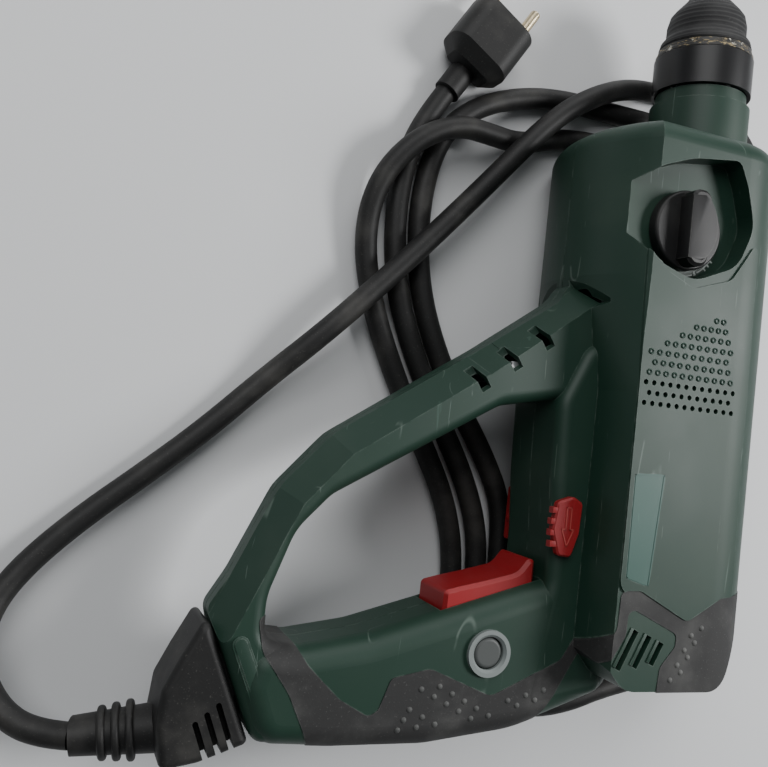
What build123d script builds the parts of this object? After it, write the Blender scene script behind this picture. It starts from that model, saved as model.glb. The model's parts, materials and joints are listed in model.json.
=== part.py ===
from build123d import *
import os
from copy import deepcopy
from math import asin, atan2, cos, degrees, pi, radians, sin, sqrt, tan

# An SDS-plus rotary hammer with a closed D-handle, lying on its right side.
# Working frame: the spindle axis is the Y axis (nose towards +Y), +X is the top of the tool,
# -X is where the handle hangs, and z = 0 is the parting plane of the two housing shells.
# SHIFT moves everything to the final frame: z = 0 is the surface that the tool lies on and
# x = y = 0 is the centre of the tool's box, measured without the cord and what is on it.

# ---------------------------------------------------------------- driving dimensions (mm)
HALF_WIDTH = 41.0          # parting plane to the outermost flat of each side
TOP_X = 26.0               # top of the housing above the spindle axis
FRONT_Y = -19.0            # front face of the housing
REAR_Y = -243.0            # rear face of the housing
NOSE_Y = 56.0              # front lip of the dust cap
HANDLE_X = -197.6          # corner of the handle's lower end, before it is rounded
GRIP_REAR_Y = -270.0       # rearmost point of the grip
WALL = 2.6                 # housing wall
FRONT_WALL = 5.5           # the thicker wall behind the housing's rounded front edge
PAD = 1.6                  # how deep the rubber pads are let into the housing
PAD_PROUD = 0.3            # how far they stand out of it
COLLAR_R = 21.5            # 43 mm clamp seat for an auxiliary handle
SHANK_R = 5.05             # bore for a 10 mm SDS-plus shank
MOTOR_X = -14.0            # armature axis
INTER_X = -35.5            # intermediate shaft axis
MODULE = 1.0               # gear module
PINION_TEETH, WHEEL_TEETH = 7, 36
DRIVE_TEETH, SPINDLE_TEETH = 29, 42
CORD_D = 9.6
RUN = 0.04                 # radial clearance of a running fit
GAP = 0.35                 # gap round a moving cover or button
HANDLE_END_X = -196.86     # lowest point of the handle, where its corner is rounded
SHIFT = Pos(-(HANDLE_END_X + TOP_X) / 2, -(GRIP_REAR_Y - PAD_PROUD + NOSE_Y) / 2, HALF_WIDTH)

os.makedirs("parts", exist_ok=True)
nodes = {}


# ---------------------------------------------------------------- small helpers
def cyl_y(r, y0, y1, x=0.0, z=0.0):
    return Pos(x, (y0 + y1) / 2, z) * Rot(90, 0, 0) * Cylinder(r, abs(y1 - y0))


def tube_y(r_out, r_in, y0, y1, x=0.0, z=0.0):
    return cyl_y(r_out, y0, y1, x, z) - cyl_y(r_in, y0 - 1, y1 + 1, x, z)


def cyl_z(r, z0, z1, x, y):
    return Pos(x, y, (z0 + z1) / 2) * Cylinder(r, abs(z1 - z0))


def block(x0, x1, y0, y1, z0, z1):
    return Pos((x0 + x1) / 2, (y0 + y1) / 2, (z0 + z1) / 2) * Box(abs(x1 - x0), abs(y1 - y0), abs(z1 - z0))


def outline(points, radii):
    """A closed polygon in the XY plane with each corner rounded by its own radius, or by what fits there."""
    fitting = []
    for i, radius in enumerate(radii):
        back = Vector(*points[i - 1]) - Vector(*points[i])
        ahead = Vector(*points[(i + 1) % len(points)]) - Vector(*points[i])
        half_turn = radians(180 - back.get_angle(ahead)) / 2
        fitting.append(min(radius, 0.48 * min(back.length, ahead.length) / tan(half_turn)))
    return make_face(FilletPolyline(*points, radius=fitting, close=True))


def prism(face, z0, z1):
    return Pos(0, 0, z0) * extrude(face, amount=z1 - z0)


def turned(profile, x=0.0, z=0.0):
    """Revolve (radius, y) points about the line parallel to Y through x, z."""
    face = make_face(Polyline(*[(r, y) for r, y in profile], close=True))
    return Pos(x, 0, z) * revolve(face, axis=Axis.Y)


def soft_top(solid, radius):
    """Round the outer edge of a prism's top face, as far as it will go."""
    if radius < 0.4:
        return solid
    return fillet(solid.faces().sort_by(Axis.Z)[-1].edges(), radius)


def mirrored(shape):
    return mirror(shape, about=Plane.XY)


# ---------------------------------------------------------------- outer form of the housing
SECTION_CORNER = 30.0      # rounding of the top corners of the barrel's section
# The lower ellipse of each section, cut flat at HALF_WIDTH: its centre, half length along X and half height.
GEAR_CENTRE_X, GEAR_A, GEAR_B = -14.0, 48.0, 56.0
MOTOR_CENTRE_X, MOTOR_A, MOTOR_B = -16.0, 38.0, 78.0
PANEL_STEP = 0.8           # how far the raised side panel stands out of the barrel
STRUT_H, GRIP_H, WAIST_H = 17.5, 20.0, 20.2

STRUT_PLAN = [(-40, -84), (-61, -84), (-66, -93), (-100, -117.5), (-158, -157), (-176, -178), (-190, -210),
              (HANDLE_X, -223), (-177.5, -268.5), (-160, -266), (-162, -236), (-178, -231), (-178, -216),
              (-170, -192), (-158, -178.5), (-93, -139), (-69, -134), (-40, -134)]
STRUT_R = [6, 8, 16, 150, 30, 30, 40, 6, 6, 6, 6, 6, 24, 24, 16, 12, 8, 6]
GRIP_PLAN = [(-181, -232), (-164, -233.5), (-139, -229), (-107, -219), (-66, -206), (-36, -198),
             (-30, -249), (-74, -265), (-112, GRIP_REAR_Y), (-150, GRIP_REAR_Y), (-177.5, -268.5), (-186, -248)]
GRIP_R = [10, 14, 40, 40, 12, 12, 12, 60, 40, 60, 12, 12]
WAIST_PLAN = [(-36, -106), (-58, -110), (-69, -134), (-68, -165), (-66, -190), (-66, -206), (-75, -258),
              (-36, -250)]
WAIST_R = [6, 10, 16, 40, 20, 20, 6, 6]


def barrel_section(centre_x, a, b, inset):
    """Upper half of a cross-section: a lower half-ellipse cut flat, and a top with a round corner."""
    high = HALF_WIDTH - PANEL_STEP - inset
    top = TOP_X - inset
    b = b - inset
    corner = SECTION_CORNER - inset
    start = 180 - degrees(asin(high / b))
    flat_x = centre_x + (a - inset) * cos(radians(start))
    edges = [
        Line((centre_x - a + inset, 0), (top, 0)),
        Line((top, 0), (top, high - corner)),
        CenterArc((top - corner, high - corner), corner, 0, 90),
        Line((top - corner, high), (flat_x, high)),
        EllipticalCenterArc((centre_x, 0), a - inset, b, start, arc_size=180 - start),
    ]
    return make_face(edges)


def at_y(section, y):
    return Pos(0, y, 0) * (Plane.XZ * section)


def barrel(inset):
    """Gear housing, its taper and the motor housing, closed by the rounded rear outline."""
    gear = barrel_section(GEAR_CENTRE_X, GEAR_A, GEAR_B, inset)
    motor = barrel_section(MOTOR_CENTRE_X, MOTOR_A, MOTOR_B, inset)
    front_y = FRONT_Y - (FRONT_WALL if inset >= WALL else inset)
    front = extrude(at_y(gear, front_y), amount=82 + front_y)
    if inset < WALL:
        front = fillet(front.faces().sort_by(Axis.Y)[-1].edges().filter_by(lambda e: e.center().Z > 0.5),
                       9.0 - inset)
    middle = loft([at_y(gear, -82), at_y(motor, -128)])
    back = extrude(at_y(motor, -128), amount=-REAR_Y - 128 + 4)
    rear_plan = outline([(-80, -100), (TOP_X + 4, -100), (TOP_X + 4, -180), (TOP_X - 2, -210), (6, REAR_Y),
                         (-42, REAR_Y), (-60, -222), (-80, -222)], [1, 1, 60, 40, 14, 12, 4, 1])
    back = back & prism(offset(rear_plan, amount=-inset) if inset else rear_plan, -1, 60)
    return front + middle + back


def plate(points, radii, high, edge, inset):
    """A flat bow of the handle: its plan, pulled in by inset, with a rounded upper edge."""
    plan = outline(points, radii)
    if inset:
        plan = offset(plan, amount=-inset, kind=Kind.INTERSECTION)
    return soft_top(prism(plan, 0, high - inset), edge - inset)


def half_body(inset):
    """Upper half of the whole housing, every face pulled in by inset."""
    strut = plate(STRUT_PLAN, STRUT_R, STRUT_H, 5.0, inset)
    grip = plate(GRIP_PLAN, GRIP_R, GRIP_H, 9.0, inset)
    waist = plate(WAIST_PLAN, WAIST_R, WAIST_H, 5.0, inset)
    return barrel(inset) + strut + grip + waist


# ---------------------------------------------------------------- housing shells
KNOB = (-28.0, -61.0)
KNOB_R = 16.0
KNOB_STEM_R = 5.0
DISH_Z = 31.0              # floor of the recess that the mode knob turns in
DISH_PLAN = [(-58, -48), (-46, -39), (-32, -33.5), (-9, -30), (-4, -40), (1, -56), (-6, -73), (-27, -82),
             (-46, -76), (-57, -62)]
DISH_R = [6, 12, 30, 4, 30, 14, 14, 16, 14, 8]
PANEL_PLAN = [(-49, -66), (-42, -79), (-27, -85), (-9, -79), (1, -64), (4, -64), (6, -140), (8, -208),
              (-12, -217), (-36, -206), (-48.4, -206), (-48.4, -130)]
PAD_PLAN = [(-181.5, -221), (-170, -227), (-162, -239), (-149, -251), (-137, -257.5), (-133.5, -255),
            (-129.5, -243.5), (-114, -240), (-87.5, -250.5), (-58, -236.6), (-47.4, -219), (-47, -204.4),
            (-38.5, -204.2), (-15.3, -215.6), (0.5, -206), (40, -204), (40, -290), (-148, -290),
            (-159, -267), (-168, -249), (-178.5, -235)]
PAD_R = [2, 4, 8, 12, 4, 2, 3, 6, 6, 6, 5, 3, 4, 4, 3, 1, 1, 1, 8, 20, 10]
EXHAUST_PLAN = [(-43, -210.3), (-19.3, -220.7), (-19.6, -225.5), (-26, -233.5), (-28, -262), (-66, -262),
                (-53, -238), (-43.2, -221.5)]
EXHAUST_R = [3, 3, 3, 5, 1, 1, 10, 6]
LABEL_PLAN = [(-46.5, -159.4), (-32.2, -158.8), (-35.3, -202.6), (-46.2, -199.6)]
LABEL_T = 0.5
GILLS = [(-80.0, -106.5), (-93.5, -116.5), (-106.5, -126.0)]
STRUT_ANGLE = degrees(atan2(-0.58, -0.81))
BOSSES = [(-47, -36), (19.8, -36), (19.4, -104), (8, -232), (-60, -126), (-58, -205), (-120, -259),
          (-60, -249), (-160, -246), (-185, -213), (-112, -137.6)]
BOSS_R, SCREW_R, HEAD_R, HEAD_H, HEAD_Z = 4.2, 1.4, 2.7, 2.0, 6.0
BOOT_ANGLE = 22.4          # direction of the cord protector's stem, turned from -X towards -Y
BOOT_STEM = 8.0            # half width of that stem
BOOT_AT = Pos(-187.5, -245.8, 0) * Rot(0, 0, BOOT_ANGLE)
CLAMP_ALONG, CLAMP_Z = 6.4, 3.9
TRIGGER_HALF = 12.5
LEVER_BAR = (-62.0, -186.0)
LEVER_BAR_R = 3.0
LEVER_TRAVEL = 8.0
LOCK = (-90.5, -234.0)
LOCK_R, BEZEL_R = 6.0, 9.0
# a bearing is (shaft radius, seat radius, rear y, front y)
FRONT_BEARING = (12.0 + RUN, 17.0, -18.0, -8.0)
SPINDLE_BEARING = (15.0 + RUN, 20.5, -57.0, -50.0)
INTER_FRONT_BEARING = (4.0 + RUN, 9.5, -57.0, -50.0)
INTER_REAR_BEARING = (4.0 + RUN, 9.5, -128.0, -121.0)
MOTOR_FRONT_BEARING = (4.0 + RUN, 11.0, -129.0, -122.0)
MOTOR_REAR_BEARING = (4.0 + RUN, 9.5, -229.0, -222.0)
STATOR_R, STATOR_BORE, STATOR_Y0, STATOR_Y1 = 31.0, 18.6, -195.0, -150.0
FIT = 0.01                 # seat larger than the piece pressed into it


def strut_bevel(inset):
    """The broad bevel along the outer side of the strut, taken off its upper edge."""
    run, rise = 8.0, 12.0
    drop = inset * sqrt(run ** 2 + rise ** 2) / run
    width = run * (1 + drop / rise)
    path = [(-64, -90), (-100, -117.5), (-158, -157), (-176, -178), (-190, -210), (-200, -233)]
    wedge = None
    for (xa, ya), (xb, yb) in zip(path, path[1:]):
        length = sqrt((xb - xa) ** 2 + (yb - ya) ** 2)
        ux, uy = (xb - xa) / length, (yb - ya) / length
        section = Plane(origin=(xa - 6 * ux, ya - 6 * uy, 0), x_dir=(-uy, ux, 0), z_dir=(ux, uy, 0))
        corners = [(0, STRUT_H - rise - drop), (width, STRUT_H), (width, STRUT_H + 9), (-12, STRUT_H + 9),
                   (-12, STRUT_H - rise - drop - 3)]
        piece = extrude(section * make_face(Polyline(*corners, close=True)), amount=length + 12)
        wedge = piece if wedge is None else wedge + piece
    return wedge


def vent_holes():
    """Three staggered rows of through holes in the side panel."""
    holes = []
    for row, y in enumerate((-124.0, -128.0, -132.0)):
        for i in range(12 - row % 2):
            holes.append(cyl_z(1.05, 20, 60, -45.6 + 3.85 * (i + 0.5 * (row % 2)), y))
    return holes


def exhaust_slots():
    """Three slanted slots in the rear corner that let the cooling air out."""
    slots = []
    for x, y, length in ((-42, -227, 16.5), (-35, -227.6, 13.5), (-28.2, -228.3, 9.5)):
        slots.append(Pos(x, y, 32) * Rot(0, 0, -25.5) * Box(2.4, length, 40))
    return slots


def seat(bearing, x=0.0):
    return cyl_y(bearing[1] + FIT, bearing[2], bearing[3], x)


def posts_and_ribs():
    """Screw bosses and the ribs that carry the motor, before they are trimmed to the hollow."""
    solid = None
    for x, y in BOSSES:
        boss = cyl_z(BOSS_R, -1, 60, x, y)
        solid = boss if solid is None else solid + boss
    for y0, y1 in ((MOTOR_REAR_BEARING[2], MOTOR_REAR_BEARING[3]), (-192.0, -189.0), (-158.0, -155.0)):
        solid = solid + block(-80, 40, y0, y1, -1, 60)
    solid = solid - cyl_y(STATOR_R + FIT, STATOR_Y0, STATOR_Y1, MOTOR_X)
    solid = solid - seat(MOTOR_REAR_BEARING, MOTOR_X) - cyl_y(5.0, -240, -220, MOTOR_X)
    bar_x, bar_y = LEVER_BAR
    return solid - block(bar_x - 5, bar_x + 5, bar_y - 7, bar_y + 14, -5, 60)


def side_openings():
    """Every opening that both shells have, as one list of cutters for the upper half."""
    cutters = exhaust_slots() + vent_holes()
    for x, y in GILLS:
        cutters.append(Pos(x, y, 19.5) * Rot(0, 0, STRUT_ANGLE) * Rot(0, 90, 0) * Cylinder(9.5, 4.2))
    bar_x, bar_y = LEVER_BAR
    room = LEVER_BAR_R + 0.6
    cutters.append(block(bar_x - room, bar_x + room, bar_y - room, bar_y + LEVER_TRAVEL + room, -1, 30))
    cutters.append(block(-109.1, -66.2, -231, -198, -1, TRIGGER_HALF + GAP))
    cutters.append(BOOT_AT * Box(24, 2 * BOOT_STEM, 2 * BOOT_STEM))
    cutters.append(cyl_y(COLLAR_R + FIT, FRONT_Y - 5, FRONT_Y + 5))
    cutters.append(cyl_y(24.5 + FIT, -27, -22))
    return cutters


def housing():
    bevel = strut_bevel(0)
    raised = barrel(-PANEL_STEP) & prism(outline(PANEL_PLAN, [6] * len(PANEL_PLAN)), 5, 60)
    outer = half_body(0) - bevel + raised
    hollow = half_body(WALL) - strut_bevel(WALL)
    pad_zone = prism(outline(PAD_PLAN, PAD_R) - outline(EXHAUST_PLAN, EXHAUST_R), -1, 60)
    pad_bed = half_body(PAD)
    openings = side_openings()
    groove = block(-300, 60, -300, 20, -0.2, 0.2) - half_body(0.45)
    lock_x, lock_y = LOCK
    pad = (half_body(-PAD_PROUD) & deepcopy(pad_zone)) - deepcopy(pad_bed)
    pad = pad.cut(*deepcopy(openings), deepcopy(groove))
    nodes["grip_pad_left"] = deepcopy(pad).cut(cyl_z(BEZEL_R + 0.2, 5, 60, lock_x, lock_y))
    nodes["grip_pad_right"] = mirrored(pad.cut(*[cyl_z(HEAD_R + 0.4, HEAD_Z, 60, x, y) for x, y in BOSSES]))
    outer = outer - (pad_zone - pad_bed)
    cavity = hollow - posts_and_ribs()

    right = deepcopy(outer).cut(*deepcopy(openings), deepcopy(groove),
                                *[cyl_z(HEAD_R + 0.4, HEAD_Z, 60, x, y) for x, y in BOSSES],
                                *[cyl_z(SCREW_R + 0.2, -1, 10, x, y) for x, y in BOSSES])
    nodes["housing_right"] = mirrored(right - deepcopy(cavity))

    dish = outline(DISH_PLAN, DISH_R)
    left_cavity = deepcopy(cavity) - prism(offset(dish, amount=WALL), DISH_Z - WALL, 60)
    left = outer - left_cavity
    knob_x, knob_y = KNOB
    left = left - prism(dish, DISH_Z, 60) - prism(outline(LABEL_PLAN, [2] * 4), HALF_WIDTH - LABEL_T, 60)
    left = left.cut(*openings, groove, cyl_z(KNOB_STEM_R + RUN, 10, 60, knob_x, knob_y),
                    cyl_z(BEZEL_R + FIT, GRIP_H - 1.0, 60, lock_x, lock_y),
                    cyl_z(LOCK_R + GAP, 5, 60, lock_x, lock_y),
                    *[cyl_z(SCREW_R + FIT, -1, 10, x, y) for x, y in BOSSES])
    nodes["housing_left"] = left

    screws = [cyl_z(HEAD_R, -HEAD_Z - HEAD_H, -HEAD_Z, x, y) - cyl_z(1.2, -HEAD_Z - 3, -HEAD_Z - 1, x, y)
              + cyl_z(SCREW_R, -HEAD_Z, 9.5, x, y) for x, y in BOSSES]
    nodes["housing_screws"] = screws

    nodes["label_plate"] = prism(outline(LABEL_PLAN, [2] * 4), HALF_WIDTH - LABEL_T, HALF_WIDTH)
    bezel = cyl_z(BEZEL_R, GRIP_H - 1.0, GRIP_H + 1.6, lock_x, lock_y) - cyl_z(LOCK_R + GAP, 0, 60, lock_x, lock_y)
    rims = bezel.faces().sort_by(Axis.Z)[-1].edges().sort_by(SortBy.RADIUS)
    nodes["lock_bezel"] = chamfer(rims[0], 1.0)
    return cavity


def slab(cavity, y0, y1):
    """A cross wall that fills the hollow of both shells between two stations."""
    half = cavity & block(-90, 40, y0, y1, -1, 60)
    return half + mirrored(half)


# ---------------------------------------------------------------- machine elements
def gear(teeth, y0, y1, bore, x, phase, slim=1.0):
    """A spur gear with straight-flanked teeth; phase is the angle of one tooth, from +X towards +Z."""
    pitch_r = teeth * MODULE / 2
    step = 2 * pi / teeth
    points = []
    for i in range(teeth):
        centre = radians(phase) + i * step
        for r, half in ((pitch_r - 1.2, 0.26), (pitch_r + 0.85, 0.10 * slim), (pitch_r + 0.85, -0.10 * slim),
                        (pitch_r - 1.2, -0.26)):
            angle = centre - half * MODULE * pi * slim / pitch_r
            points.append((r * cos(angle), r * sin(angle)))
    body = Rot(90, 0, 0) * extrude(make_face(Polyline(*points, close=True)), amount=y1 - y0)
    return Pos(x, y1, 0) * body - cyl_y(bore, y0 - 1, y1 + 1, x)


def bearing_ring(bearing, x=0.0):
    """A shielded ball bearing: the shield is set back between the two races on each side."""
    shaft, outer, y0, y1 = bearing
    wide = (outer - shaft) * 0.28
    profile = [(shaft, y0), (shaft + wide, y0), (shaft + wide, y0 + 0.5), (outer - wide, y0 + 0.5), (outer - wide, y0),
               (outer, y0), (outer, y1), (outer - wide, y1), (outer - wide, y1 - 0.5), (shaft + wide, y1 - 0.5),
               (shaft + wide, y1), (shaft, y1)]
    return turned(profile, x)


def coil_spring(radius, wire, turns, start, direction, length, cone=0.0):
    path = Helix(pitch=length / turns, height=length, radius=radius, center=start, direction=direction, cone_angle=cone)
    section = Plane(origin=path @ 0, z_dir=path % 0) * Circle(wire / 2)
    return sweep(section, path=path, is_frenet=True)


# ---------------------------------------------------------------- tool holder and impact mechanism
BALL_Y, BALL_R, BALL_CENTRE_R = 22.0, 3.5, 7.0
PIN_Y = -98.0              # piston pin, wobble plate and hub
PINION_SLIM = 0.8          # thinner teeth on the seven-tooth motor pinion and its wheel
SLEEVE_TRAVEL, BALL_TRAVEL = 6.0, 1.7
SEAT_Y0, SEAT_Y1 = -18.9, 3.5      # the collar's seat for an auxiliary handle
BORE_Y0 = 28.5                     # the plain part of the shank bore runs from here to the holder's front


def chuck():
    nodes["front_collar"] = turned([(17.0, -27), (24.5, -27), (24.5, -22), (21, -22), (21, SEAT_Y0),
                                    (COLLAR_R, SEAT_Y0), (COLLAR_R, SEAT_Y1), (19.6, SEAT_Y1), (19.6, 9), (12.6, 9),
                                    (12.6, -8), (17.0, -8)])
    holder = turned([(SHANK_R, 47), (9.4, 47), (9.4, -6), (12, -6), (12, -20), (15, -20), (15, -86), (11.2, -86),
                     (11.2, -24), (8.2, -24), (8.2, -10), (SHANK_R, -10), (SHANK_R, BORE_Y0 - 1.5), (5.8, BORE_Y0 - 1.5),
                     (5.8, BORE_Y0), (SHANK_R, BORE_Y0)])
    for side in (-1, 1):
        holder = holder - Pos(side * 8, BALL_Y, 0) * Rot(0, 90, 0) * Cylinder(BALL_R + 0.06, 12)
    nodes["tool_holder"] = holder
    for number, side in ((1, 1), (2, -1)):
        nodes[f"locking_ball_{number}"] = Pos(side * BALL_CENTRE_R, BALL_Y, 0) * Sphere(BALL_R)
    slope = BALL_TRAVEL / SLEEVE_TRAVEL
    cone = [BALL_CENTRE_R + BALL_R + 0.2 + slope * (y - BALL_Y) for y in (18.5, 29.6)]
    nodes["locking_sleeve"] = turned([(19.9, 9.5), (21.4, 9.5), (21.4, 25.4), (20.8, 26), (15.2, 26), (15.2, 29.6),
                                      (cone[1], 29.6), (cone[0], 18.5), (9.4 + RUN, 18.5), (9.4 + RUN, 16.5),
                                      (19.9, 16.5)])
    nodes["step_ring"] = turned([(15.2, 26), (21.0, 26), (21.0, 27.2), (20.2, 28), (20.2, 29.6), (15.2, 29.6)])
    nodes["locking_spring"] = coil_spring(10.6, 1.1, 2.5, (0, 9.7, 0), (0, 1, 0), 5.6, 22)
    nodes["dust_cap"] = turned([(9.4, 30.2), (19.6, 30.2), (20, 30.8), (19.4, 33.2), (17.3, 36), (17.2, 41.5),
                                (16.2, 45.6), (14.6, 47.8), (9.8, 53.2), (8.6, 55.4), (7.8, NOSE_Y), (6.6, NOSE_Y),
                                (6.0, 55), (6.0, 47.0), (9.4, 47.0)])
    nodes["impact_bolt"] = turned([(0, 0), (4.2, 0), (4.6, -0.6), (4.6, -13), (8, -13), (8, -18), (5.9, -18),
                                   (5.9, -33), (0, -33)])
    nodes["guide_ring"] = turned([(6.0, -24.2), (11.18, -24.2), (11.18, -31), (6.0, -31)])
    nodes["striker"] = turned([(0, -41), (6, -41), (6, -44), (8.9, -45), (8.9, -50), (7.6, -50), (7.6, -52),
                               (8.9, -52), (8.9, -60), (0, -60)])
    nodes["striker_ring"] = turned([(7.6, -50.1), (8.95, -50.1), (8.95, -51.9), (7.6, -51.9)])
    piston = turned([(9.0, -38), (11.1, -38), (11.1, -84), (0, -84), (0, -74), (9.0, -74)])
    piston = piston + block(-7, 7, PIN_Y - 8, -84, -8.6, 8.6)
    piston = piston - block(-8, 8, PIN_Y - 9, -87, -3, 3) - cyl_z(4.0 + RUN, -10, 10, 0, PIN_Y)
    nodes["piston"] = piston
    pin = cyl_z(4.0, -8.6, 8.6, 0, PIN_Y) - Pos(0, PIN_Y, 0) * Rot(0, 90, 0) * Cylinder(2.8, 12)
    nodes["piston_pin"] = pin
    nodes["spindle_gear"] = gear(SPINDLE_TEETH, -74, -64, 15.0 + FIT, 0, 180 / SPINDLE_TEETH)
    nodes["retaining_ring"] = turned([(15.0 + FIT, -76), (17.2, -76), (17.2, -74.4), (15.0 + FIT, -74.4)])


def drive():
    nodes["intermediate_shaft"] = turned([(0, -50), (4, -50), (4, -57.4), (6, -57.4), (6, -62.6), (5, -62.6), (5, -121),
                                          (4, -121), (4, -128), (0, -128)], INTER_X)
    nodes["drive_pinion"] = gear(DRIVE_TEETH, -75, -63, 5.0 + FIT, INTER_X, 0)
    nodes["intermediate_gear"] = gear(WHEEL_TEETH, -120, -112, 5.0 + FIT, INTER_X, 180 / WHEEL_TEETH, PINION_SLIM)
    nodes["intermediate_bearings"] = [bearing_ring(INTER_FRONT_BEARING, INTER_X),
                                      bearing_ring(INTER_REAR_BEARING, INTER_X)]
    sleeve = turned([(5.0 + RUN, -84), (12, -84), (12, -82.6), (9.5, -82.6), (9.5, -79.4), (12, -79.4), (12, -78),
                     (5.0 + RUN, -78)], INTER_X)
    nodes["clutch_sleeve"] = sleeve
    hub = Pos(INTER_X, PIN_Y, 0) * Sphere(11.8) & block(INTER_X - 12, INTER_X + 12, PIN_Y - 8, PIN_Y + 8, -12, 12)
    groove = Pos(INTER_X, PIN_Y, 0) * Rot(90, 0, 0) * Torus(13.9, 2.15)
    nodes["wobble_hub"] = hub - cyl_y(5.0 + FIT, -110, -86, INTER_X) - groove
    ring = tube_y(18.5, 14.6, PIN_Y - 4.5, PIN_Y + 4.5, INTER_X)
    arm = Pos((INTER_X + 17 + 3.5) / 2, PIN_Y, 0) * Rot(0, 90, 0) * Cylinder(2.2, 3.5 - INTER_X - 17)
    nodes["wobble_plate"] = ring + arm - Pos(INTER_X, PIN_Y, 0) * Rot(90, 0, 0) * Torus(13.9, 2.02)
    balls = []
    for i in range(10):
        angle = radians(36 * i + 18)
        balls.append(Pos(INTER_X + 13.9 * cos(angle), PIN_Y, 13.9 * sin(angle)) * Sphere(2.0))
    nodes["wobble_balls"] = balls
    fork = block(INTER_X - 11, INTER_X + 11, -82.2, -79.8, 2, 22) - cyl_y(9.8, -83, -79, INTER_X)
    fork = fork + block(INTER_X - 3, -26.5, -82.2, -56.2, 22, 24.2) + block(INTER_X - 3, INTER_X + 3, -82.2, -79.8, 12, 23)
    knob_x, knob_y = KNOB
    fork = fork - block(knob_x - 5.6, knob_x - 0.6, knob_y + 0.7, knob_y + 4.3, 20, 30)
    nodes["shift_fork"] = fork


def motor():
    shaft = turned([(0, -108), (2.3, -108), (2.3, -122), (4, -122), (4, -146), (5, -146), (5, -199), (4, -199),
                    (4, -231), (0, -231)], MOTOR_X)
    pinion = gear(PINION_TEETH, -122, -110, 1.0, MOTOR_X, 180, PINION_SLIM)
    nodes["armature_shaft"] = shaft + pinion + cyl_y(2.0, -122, -110, MOTOR_X)
    core = cyl_y(18, -193, -152, MOTOR_X)
    slots = [Pos(MOTOR_X, -172.5, 0) * Rot(0, 30 * i, 0) * Pos(14.5, 0, 0) * Box(9, 44, 3) for i in range(12)]
    nodes["armature_core"] = core.cut(*slots) - cyl_y(5 + FIT, -194, -150, MOTOR_X)
    winding = tube_y(16, 5 + FIT, -198, -193.02, MOTOR_X) + tube_y(16, 5 + FIT, -151.98, -147.6, MOTOR_X)
    bars = [Pos(MOTOR_X, -172.5, 0) * Rot(0, 30 * i, 0) * Pos(13.2, 0, 0) * Box(5, 44, 2.6) for i in range(12)]
    nodes["armature_winding"] = winding.fuse(*bars)
    commutator = tube_y(11, 4 + FIT, -214, -200, MOTOR_X)
    cuts = [Pos(MOTOR_X, -206, 0) * Rot(0, 22.5 * i, 0) * Pos(11, 0, 0) * Box(1.2, 13, 0.5) for i in range(16)]
    nodes["commutator"] = commutator.cut(*cuts)
    fan = tube_y(8, 4 + FIT, -144, -134, MOTOR_X) + tube_y(30, 7, -136, -134, MOTOR_X)
    blades = [Pos(MOTOR_X, -139.6, 0) * Rot(0, 30 * i, 0) * Pos(18.5, 0, 0) * Box(21.6, 8, 1.6) for i in range(12)]
    nodes["fan"] = fan.fuse(*blades)
    pole = tube_y(27, STATOR_BORE, STATOR_Y0, STATOR_Y1, MOTOR_X) & block(-60, 30, -200, -140, -9, 9)
    nodes["stator_core"] = tube_y(STATOR_R, 26.4, STATOR_Y0, STATOR_Y1, MOTOR_X) + pole
    coil = tube_y(26.3, STATOR_BORE + 1.4, -198.4, -147.2, MOTOR_X)
    coil = coil - block(-60, 30, STATOR_Y0 - 0.1, STATOR_Y1 + 0.1, -9.1, 9.1)
    nodes["field_coils"] = (coil - block(MOTOR_X - 0.6, MOTOR_X + 0.6, -200, -140, -30, 30)).solids()
    nodes["motor_bearings"] = [bearing_ring(MOTOR_FRONT_BEARING, MOTOR_X), bearing_ring(MOTOR_REAR_BEARING, MOTOR_X)]
    holders, brushes, springs = [], [], []
    for side in (-1, 1):
        holder = block(MOTOR_X - 5, MOTOR_X + 5, -211.5, -202.5, side * 12.4, side * 30)
        holders.append(holder - block(MOTOR_X - 3.3, MOTOR_X + 3.3, -210.3, -203.7, side * 12, side * 28.5))
        brushes.append(block(MOTOR_X - 3.2, MOTOR_X + 3.2, -210.2, -203.8, side * 11.35, side * 21))
        springs.append(coil_spring(2.3, 0.6, 5, (MOTOR_X, -207, side * 21.4), (0, 0, side), 6.6))
    nodes["brush_holders"] = holders
    nodes["carbon_brushes"] = brushes
    nodes["brush_springs"] = springs


def inner_walls(cavity):
    bracket = slab(cavity, -57, -50) - seat(SPINDLE_BEARING) - seat(INTER_FRONT_BEARING, INTER_X)
    bracket = bracket - block(INTER_X - 5, -18.5, -60, -45, 20, 30)
    bracket = bracket - prism(offset(outline(DISH_PLAN, DISH_R), amount=WALL), DISH_Z - WALL, 60)
    nodes["gear_bracket"] = bracket
    bulkhead = slab(cavity, -129, -121) - seat(MOTOR_FRONT_BEARING, MOTOR_X) - seat(INTER_REAR_BEARING, INTER_X)
    bulkhead = bulkhead - cyl_y(7.5, -123, -120, MOTOR_X) - cyl_y(6.0, -130, -127, INTER_X)
    nodes["motor_bulkhead"] = bulkhead
    nodes["air_baffle"] = slab(cavity, -146.4, -145.0) - cyl_y(21, -150, -140, MOTOR_X)
    nodes["spindle_bearings"] = [bearing_ring(FRONT_BEARING), bearing_ring(SPINDLE_BEARING)]


# ---------------------------------------------------------------- controls


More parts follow.
